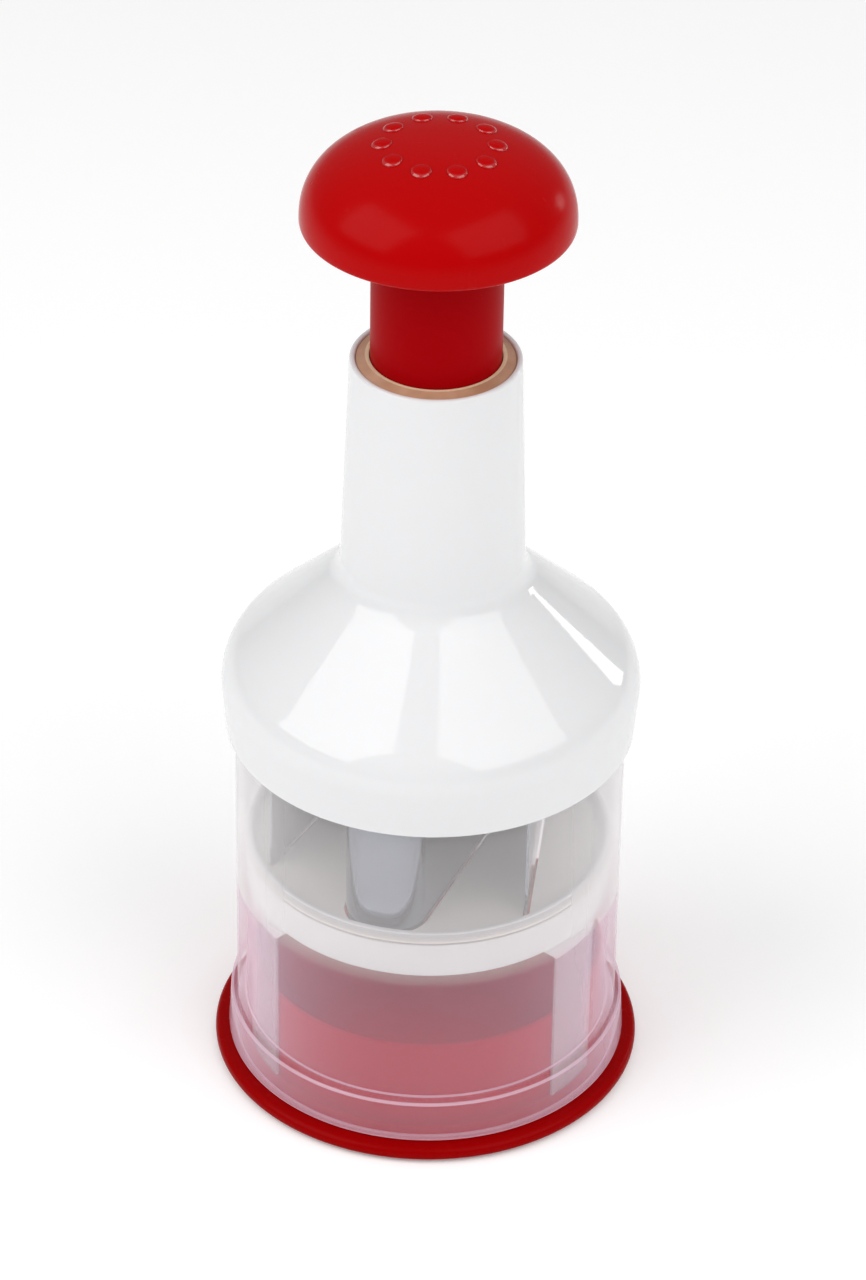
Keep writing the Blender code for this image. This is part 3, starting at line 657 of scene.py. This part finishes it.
def buildKnob():
    size = {"radius": radiusOf("push_knob"), "edge": 217.4, "rise": high("push_knob") - 217.4, "rim": 216.3,
            "roof": 230.2, "squareness": 2.32, "collar": 11.9, "collarLow": 213.4, "pin": 9.6, "pinTop": 232.0,
            "dots": 10, "dotCircle": 12.05, "dot": 2.2, "dotRise": 0.8, "dotSink": 0.8, "dotTilt": 11.8,
            "bumper": (15.0, 19.0)}
    power = 2 / size["squareness"]
    outline = [(0.0, size["edge"] + size["rise"])]
    for step in range(1, 49):
        angle = math.radians(90 - 90 * step / 48)
        outline.append((size["radius"] * math.cos(angle) ** power,
                        size["edge"] + size["rise"] * math.sin(angle) ** power))
    outline += rounded([
        (size["radius"], size["edge"]), (size["radius"] - 0.2, size["rim"], 0.9),
        (size["radius"] - 2.3, size["rim"], 0.5), (size["radius"] - 2.5, size["edge"] + 2)], closed=False)[1:-1]
    outline += oval((18.0, size["edge"]), (size["radius"] - 20.5, size["roof"] - size["edge"]), 8, 90, 12)
    outline += rounded([
        (size["collar"], size["roof"]), (size["collar"], size["collarLow"], 0.5),
        (size["pin"], size["collarLow"], 0.3), (size["pin"], size["pinTop"])], closed=False)
    outline += [(0.0, size["pinTop"])]
    knob = turnedPiece("pushKnob", outline, 160, sharp=45)
    finishPiece(knob, "plunger", "red_plastic", red, "push_knob")

    dots = bmesh.new()
    dome = 1 - (size["dotCircle"] / size["radius"]) ** size["squareness"]
    dotSeat = size["edge"] + size["rise"] * dome ** (1 / size["squareness"])
    for index in range(size["dots"]):
        dot = bmesh.new()
        spinOutline(dot, [(0.0, -size["dotSink"]), (size["dot"], -size["dotSink"])]
                    + oval((0.0, 0.0), (size["dot"], size["dotRise"]), 0, 90, 14), 40)
        bmesh.ops.rotate(dot, cent=(0, 0, 0), matrix=Matrix.Rotation(math.radians(size["dotTilt"]), 3, "Y"),
                         verts=dot.verts)
        bmesh.ops.translate(dot, vec=Vector((size["dotCircle"], 0.0, dotSeat)) * mm, verts=dot.verts)
        bmesh.ops.rotate(dot, cent=(0, 0, 0), matrix=Matrix.Rotation(math.tau * index / size["dots"], 3, "Z"),
                         verts=dot.verts)
        one = bpy.data.meshes.new("gripDot")
        dot.to_mesh(one)
        dot.free()
        dots.from_mesh(one)
    finishPiece(makePiece("gripDots", dots), "plunger", "red_plastic", dotRed)

    bore, outer = size["bumper"]
    bumperLow, bumperHigh = low("knob_bumper"), high("knob_bumper")
    bumper = turnedPiece("knobBumper", rounded([
        (bore, bumperLow, 0.8), (outer, bumperLow, 0.8), (outer, bumperHigh, 0.4), (bore, bumperHigh, 0.4)]), 96)
    finishPiece(bumper, "plunger", "soft_rubber", rubber, "knob_bumper")


buildTube()
buildKnob()
print("plunger made")


# Spring, which shortens as the plunger goes down
# Spring

def buildSpring():
    size = {"radius": 9.0, "wire": 0.7, "turns": 10.0, "perTurn": 24, "bottom": low("return_spring"),
            "top": high("return_spring"), "travel": 36.0}
    path = bpy.data.curves.new("springPath", "CURVE")
    path.dimensions = "3D"
    path.bevel_depth = size["wire"] * mm
    path.bevel_resolution = 3
    path.use_fill_caps = True
    count = int(size["turns"] * size["perTurn"])
    spline = path.splines.new("POLY")
    spline.points.add(count)
    bottom, top = size["bottom"] + size["wire"], size["top"] - size["wire"]
    for step in range(count + 1):
        share = step / count
        angle = math.tau * step / size["perTurn"]
        height = bottom + (top - bottom) * share
        spline.points[step].co = (size["radius"] * mm * math.cos(angle), size["radius"] * mm * math.sin(angle),
                                  height * mm, 1.0)
    helix = bpy.data.objects.new("springHelix", path)
    bpy.context.collection.objects.link(helix)
    bpy.context.view_layer.update()
    data = bpy.data.meshes.new_from_object(helix.evaluated_get(bpy.context.evaluated_depsgraph_get()))
    bpy.data.objects.remove(helix)
    spring = bpy.data.objects.new("returnSpring", data)
    bpy.context.collection.objects.link(spring)
    data.shade_smooth()
    finishPiece(spring, "housing", "spring_steel", wireSteel, "return_spring")
    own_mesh(spring)


buildSpring()
print("spring made")


# CAD nodes that stay as they are

def paintKeptNodes():
    finishes = {"grey_plastic": grey, "plated_steel": platedSteel, "soft_rubber": rubber}
    slots = {part["node"]: part["material_slot"] for part in frame["record"]["subparts"]}
    kept = ("drive_plate", "index_nut", "spring_seat", "stop_washer", "click_washer", "upper_spring_washer",
            "spindle", "spindle_washer", "spindle_screw", "blade_screw", "plate_screw_1", "plate_screw_2",
            "plate_screw_3")
    for node in kept:
        thing = frame["nodes"][node]
        thing.data.materials.clear()
        thing.data.materials.append(finishes[slots[node]])


paintKeptNodes()
print("inner parts painted")


# Floor, world, lights and camera

def buildStage():
    studio = {"floorHalf": 4.0, "floorGlow": 0.15, "horizon": 0.34, "zenith": 0.62, "aim": (0.0, 0.0, 0.113),
              "camera": (0.0003, -0.925, 0.742), "lookDown": 34.34, "roll": 0.93, "lens": 142.0}
    mesh = bmesh.new()
    bmesh.ops.create_grid(mesh, x_segments=2, y_segments=2, size=studio["floorHalf"])
    floor = makePiece("floor", mesh, solid=False)
    paint = Paint("floorPaint")
    speckle = paint.noise(300.0, 2.0)
    floor.data.materials.append(paint.surface(paint.principled(
        Base_Color=paint.blend(speckle, (0.92, 0.92, 0.92), (0.94, 0.94, 0.94)), Roughness=0.9,
        Specular_IOR_Level=0.1, Emission_Color=(1.0, 1.0, 1.0), Emission_Strength=studio["floorGlow"])))

    air = Paint("studio", bpy.data.worlds.new("studio"))
    split = air.node("ShaderNodeSeparateXYZ", values={"Vector": air.node("ShaderNodeTexCoord", out="Generated")},
                     out="Z")
    strength = studio["horizon"] + (studio["zenith"] - studio["horizon"]) * split.ramp(0.15, 0.95)
    bpy.context.scene.world = air.surface(air.node(
        "ShaderNodeBackground", values={"Color": (1.0, 1.0, 1.0, 1.0), "Strength": strength}))

    lights = {  # azimuth from the front, elevation, distance, width, height, power
        "softboxLeft": (-65.0, 41.0, 1.2, 1.02, 1.04, 7.3),
        "softboxRight": (51.0, 42.0, 1.2, 1.17, 1.00, 6.5),
        "lampBack": (126.5, 10.8, 1.16, 0.165, 0.214, 0.55)}
    aim = Vector(studio["aim"])
    for name, (azimuth, elevation, distance, width, height, power) in lights.items():
        lamp = bpy.data.lights.new(name, "AREA")
        lamp.shape = "RECTANGLE"
        lamp.size, lamp.size_y, lamp.energy = width, height, power
        thing = bpy.data.objects.new(name, lamp)
        bpy.context.collection.objects.link(thing)
        angle, lift = math.radians(azimuth - 90), math.radians(elevation)
        offset = Vector((math.cos(angle) * math.cos(lift), math.sin(angle) * math.cos(lift), math.sin(lift)))
        thing.location = aim + offset * distance
        thing.rotation_euler = offset.to_track_quat("Z", "Y").to_euler()

    lens = bpy.data.cameras.new("camera")
    lens.sensor_width = 36.0
    lens.lens = studio["lens"]
    lens.clip_start = 0.05
    camera = bpy.data.objects.new("camera", lens)
    bpy.context.collection.objects.link(camera)
    look = (Matrix.Rotation(math.radians(90 - studio["lookDown"]), 4, "X")
            @ Matrix.Rotation(math.radians(studio["roll"]), 4, "Z"))
    camera.matrix_world = Matrix.Translation(studio["camera"]) @ look
    bpy.context.scene.camera = camera
    bpy.context.scene.view_settings.view_transform = "Standard"


buildStage()
print("stage made")
